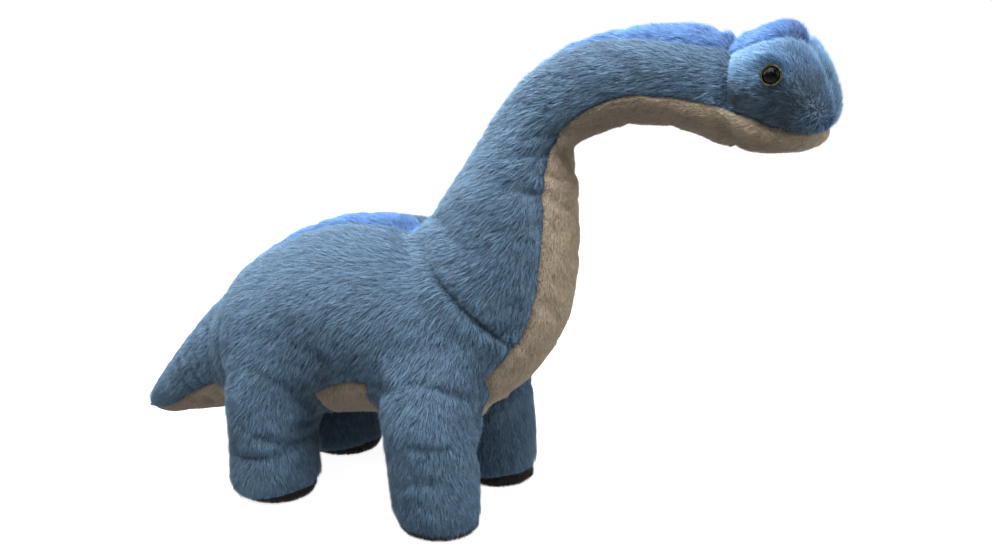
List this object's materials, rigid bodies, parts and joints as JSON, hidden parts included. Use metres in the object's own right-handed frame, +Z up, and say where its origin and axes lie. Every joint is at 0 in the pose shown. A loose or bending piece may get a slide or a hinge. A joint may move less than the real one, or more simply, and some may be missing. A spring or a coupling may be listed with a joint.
{
  "type": "plush dinosaur",
  "caption": "Standing plush long-necked dinosaur in blue fur fabric with a beige underside, dark soles and domed plastic eyes.",
  "frame": {"origin": "on the floor, midway between tail tip and snout, in the mid-plane", "axes": "+X to the snout, +Y to the animal's left, +Z up"},
  "size_m": [0.751, 0.236, 0.5006],
  "materials": {
    "fur_steel_blue": "long soft pile",
    "fur_bright_blue": "long soft pile",
    "fur_beige": "short soft pile",
    "sole_plush": "short dense pile",
    "stuffing": "loose polyester fibre",
    "eye_black": "polished",
    "iris_gold": "glossy",
    "washer_plastic": "satin"
  },
  "bodies": {
    "torso": {"torso_stuffing": "stuffing", "right_flank_panel": "fur_steel_blue", "left_flank_panel": "fur_steel_blue", "back_gusset": "fur_bright_blue", "belly_gusset": "fur_beige"},
    "neck": {"neck_stuffing": "stuffing", "neck_right_panel": "fur_steel_blue", "neck_left_panel": "fur_steel_blue", "neck_nape_gusset": "fur_bright_blue", "neck_throat_gusset": "fur_beige"},
    "head": {"head_stuffing": "stuffing", "head_right_panel": "fur_steel_blue", "head_left_panel": "fur_steel_blue", "head_crown_gusset": "fur_bright_blue", "head_chin_gusset": "fur_beige", "right_eye_dome": "eye_black", "right_iris_ring": "iris_gold", "right_eye_washer": "washer_plastic", "left_eye_dome": "eye_black", "left_iris_ring": "iris_gold", "left_eye_washer": "washer_plastic"},
    "tail": {"tail_stuffing": "stuffing", "tail_right_panel": "fur_steel_blue", "tail_left_panel": "fur_steel_blue", "tail_top_gusset": "fur_bright_blue", "tail_underside_gusset": "fur_beige"},
    "front_right_leg": {"front_right_leg_stuffing": "stuffing", "front_right_leg_outer_panel": "fur_steel_blue", "front_right_leg_inner_panel": "fur_steel_blue", "front_right_sole": "sole_plush"},
    "front_left_leg": {"front_left_leg_stuffing": "stuffing", "front_left_leg_outer_panel": "fur_steel_blue", "front_left_leg_inner_panel": "fur_steel_blue", "front_left_sole": "sole_plush"},
    "rear_right_leg": {"rear_right_leg_stuffing": "stuffing", "rear_right_leg_outer_panel": "fur_steel_blue", "rear_right_leg_inner_panel": "fur_steel_blue", "rear_right_sole": "sole_plush"},
    "rear_left_leg": {"rear_left_leg_stuffing": "stuffing", "rear_left_leg_outer_panel": "fur_steel_blue", "rear_left_leg_inner_panel": "fur_steel_blue", "rear_left_sole": "sole_plush"}
  },
  "joints": [
    {"name": "neck_sway", "type": "hinge", "parent": "torso", "child": "neck", "pos_m": [0.0575, 0, 0.236], "axis": [0, 1, 0], "range_deg": [-12, 12], "stiffness_Nm_per_rad": 14},
    {"name": "head_nod", "type": "hinge", "parent": "neck", "child": "head", "pos_m": [0.2905, 0, 0.436], "axis": [0, 1, 0], "range_deg": [-15, 15], "stiffness_Nm_per_rad": 3},
    {"name": "tail_lift", "type": "hinge", "parent": "torso", "child": "tail", "pos_m": [-0.2445, 0, 0.1275], "axis": [0, 1, 0], "range_deg": [-10, 20], "stiffness_Nm_per_rad": 4},
    {"name": "front_right_hip", "type": "hinge", "parent": "torso", "child": "front_right_leg", "pos_m": [0.0225, -0.07, 0.108], "axis": [0, 1, 0], "range_deg": [-12, 12], "stiffness_Nm_per_rad": 8},
    {"name": "front_left_hip", "type": "hinge", "parent": "torso", "child": "front_left_leg", "pos_m": [0.0225, 0.07, 0.108], "axis": [0, 1, 0], "range_deg": [-12, 12], "stiffness_Nm_per_rad": 8},
    {"name": "rear_right_hip", "type": "hinge", "parent": "torso", "child": "rear_right_leg", "pos_m": [-0.1565, -0.07, 0.108], "axis": [0, 1, 0], "range_deg": [-12, 12], "stiffness_Nm_per_rad": 8},
    {"name": "rear_left_hip", "type": "hinge", "parent": "torso", "child": "rear_left_leg", "pos_m": [-0.1565, 0.07, 0.108], "axis": [0, 1, 0], "range_deg": [-12, 12], "stiffness_Nm_per_rad": 8}
  ]
}
